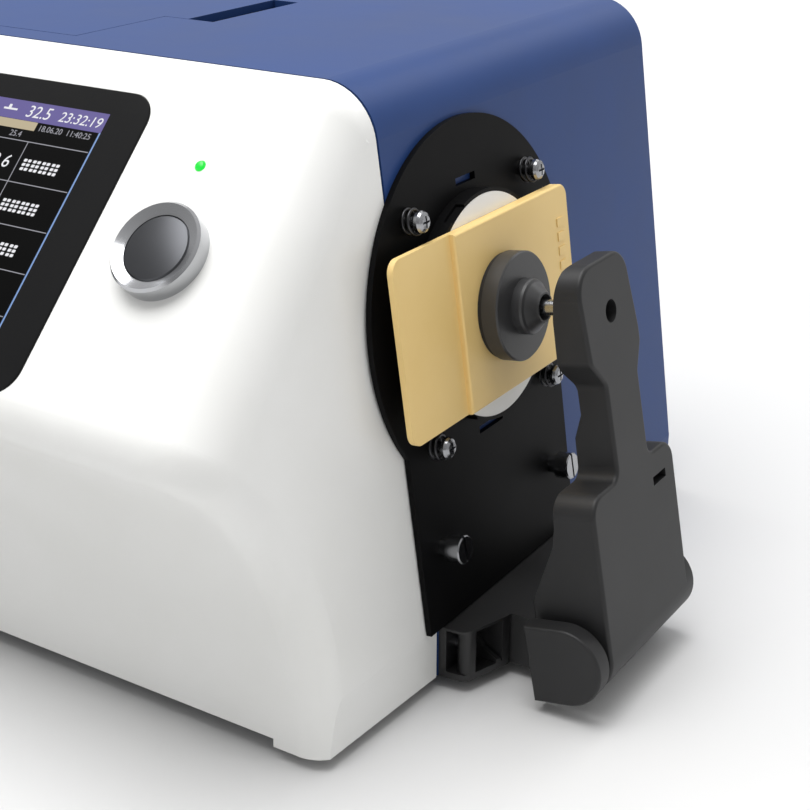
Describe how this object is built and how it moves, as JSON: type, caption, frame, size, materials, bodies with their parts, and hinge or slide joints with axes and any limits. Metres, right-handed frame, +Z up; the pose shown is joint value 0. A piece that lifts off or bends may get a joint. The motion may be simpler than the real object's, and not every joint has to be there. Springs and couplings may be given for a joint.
{
  "type": "bench spectrophotometer",
  "caption": "Bench spectrophotometer with a sloping touch display, a round push-button and a side measuring port where a sprung clamp holds a stepped colour chip.",
  "frame": {"origin": "middle of the footprint of the whole instrument, clamp included, on the table", "axes": "+Z up, +Y towards the instrument's rear, +X towards its right side, where the measuring port and clamp are"},
  "size_m": [0.4271, 0.2836, 0.2],
  "materials": {
    "white_shell": "satin",
    "blue_cover": "fine satin",
    "black_glass": "gloss",
    "display": "gloss",
    "board": "satin",
    "green_lens": "gloss",
    "bezel": "polished",
    "button_face": "satin",
    "spring_steel": "bright",
    "screw_steel": "zinc",
    "black_metal": "fine matt",
    "black_plastic": "matt",
    "white_ceramic": "satin",
    "chip": "matt",
    "soft_pad": "matt",
    "foot_rubber": "matt",
    "sheet": "zinc",
    "lamp_can": "satin",
    "lens": "gloss"
  },
  "bodies": {
    "case": {"front_shell": "white_shell", "rear_cover": "blue_cover", "screen_glass": "black_glass", "lcd_panel": "display", "display_board": "board", "main_board": "board", "power_board": "board", "status_led": "green_lens", "button_ring": "bezel", "button_nut": "bezel", "button_spring": "spring_steel", "screw_springs": "spring_steel", "clamp_spring": "spring_steel", "plate_screws": "screw_steel", "captive_screws": "screw_steel", "base_screws": "screw_steel", "bracket_screws": "screw_steel", "panel_screws": "screw_steel", "standoffs": "screw_steel", "lid_pin": "screw_steel", "port_plate": "black_metal", "aperture_ring": "black_metal", "seam_gasket": "black_plastic", "clamp_bracket": "black_plastic", "sample_bay": "black_plastic", "cuvette_holder": "black_plastic", "button_switch": "black_plastic", "board_chips": "black_plastic", "rocker_housing": "black_plastic", "power_inlet": "black_plastic", "spectrometer": "black_plastic", "aperture_disc": "white_ceramic", "sphere_port_half": "white_ceramic", "sphere_back_half": "white_ceramic", "feet": "foot_rubber", "base_plate": "sheet", "io_panel": "sheet", "flash_lamp": "lamp_can", "detector_tube": "lamp_can", "usb_socket": "lamp_can", "serial_socket": "lamp_can", "detector_lens": "lens"},
    "button": {"button_cap": "button_face"},
    "arm": {"clamp_arm": "black_metal", "hinge_cap": "black_metal", "hinge_pin": "screw_steel", "ball_stud": "screw_steel", "stud_nut": "screw_steel"},
    "puck": {"press_puck": "black_plastic", "puck_pad": "soft_pad"},
    "chip": {"sample_chip": "chip"},
    "lid": {"top_lid": "blue_cover"},
    "rocker": {"power_rocker": "black_plastic"}
  },
  "joints": [
    {"name": "button_press", "type": "slide", "parent": "case", "child": "button", "axis": [0, 0.7071, -0.7071], "range_m": [0, 0.0015], "stiffness_N_per_m": 600, "springref_m": -0.002, "deforming": ["button_spring"]},
    {"name": "arm_swing", "type": "hinge", "parent": "case", "child": "arm", "pos_m": [0.20005, -0.0024, 0.0196], "axis": [0, 1, 0], "range_deg": [0, 75], "stiffness_Nm_per_rad": 0.12, "springref_deg": -68.75, "deforming": ["clamp_spring"]},
    {"name": "puck_tilt", "type": "hinge", "parent": "arm", "child": "puck", "pos_m": [0.1644, -0.0028, 0.1242], "axis": [0, 1, 0], "range_deg": [-4, 4], "deforming": ["puck_pad"]},
    {"name": "chip_slide", "type": "slide", "parent": "case", "child": "chip", "axis": [0, 1, 0], "range_m": [-0.02, 0.045]},
    {"name": "lid_hinge", "type": "hinge", "parent": "case", "child": "lid", "pos_m": [-0.12965, -0.0004, 0.1959], "axis": [0, -1, 0], "range_deg": [0, 90]},
    {"name": "rocker_switch", "type": "hinge", "parent": "case", "child": "rocker", "pos_m": [-0.11055, 0.135, 0.051], "axis": [1, 0, 0], "range_deg": [0, 12]}
  ]
}
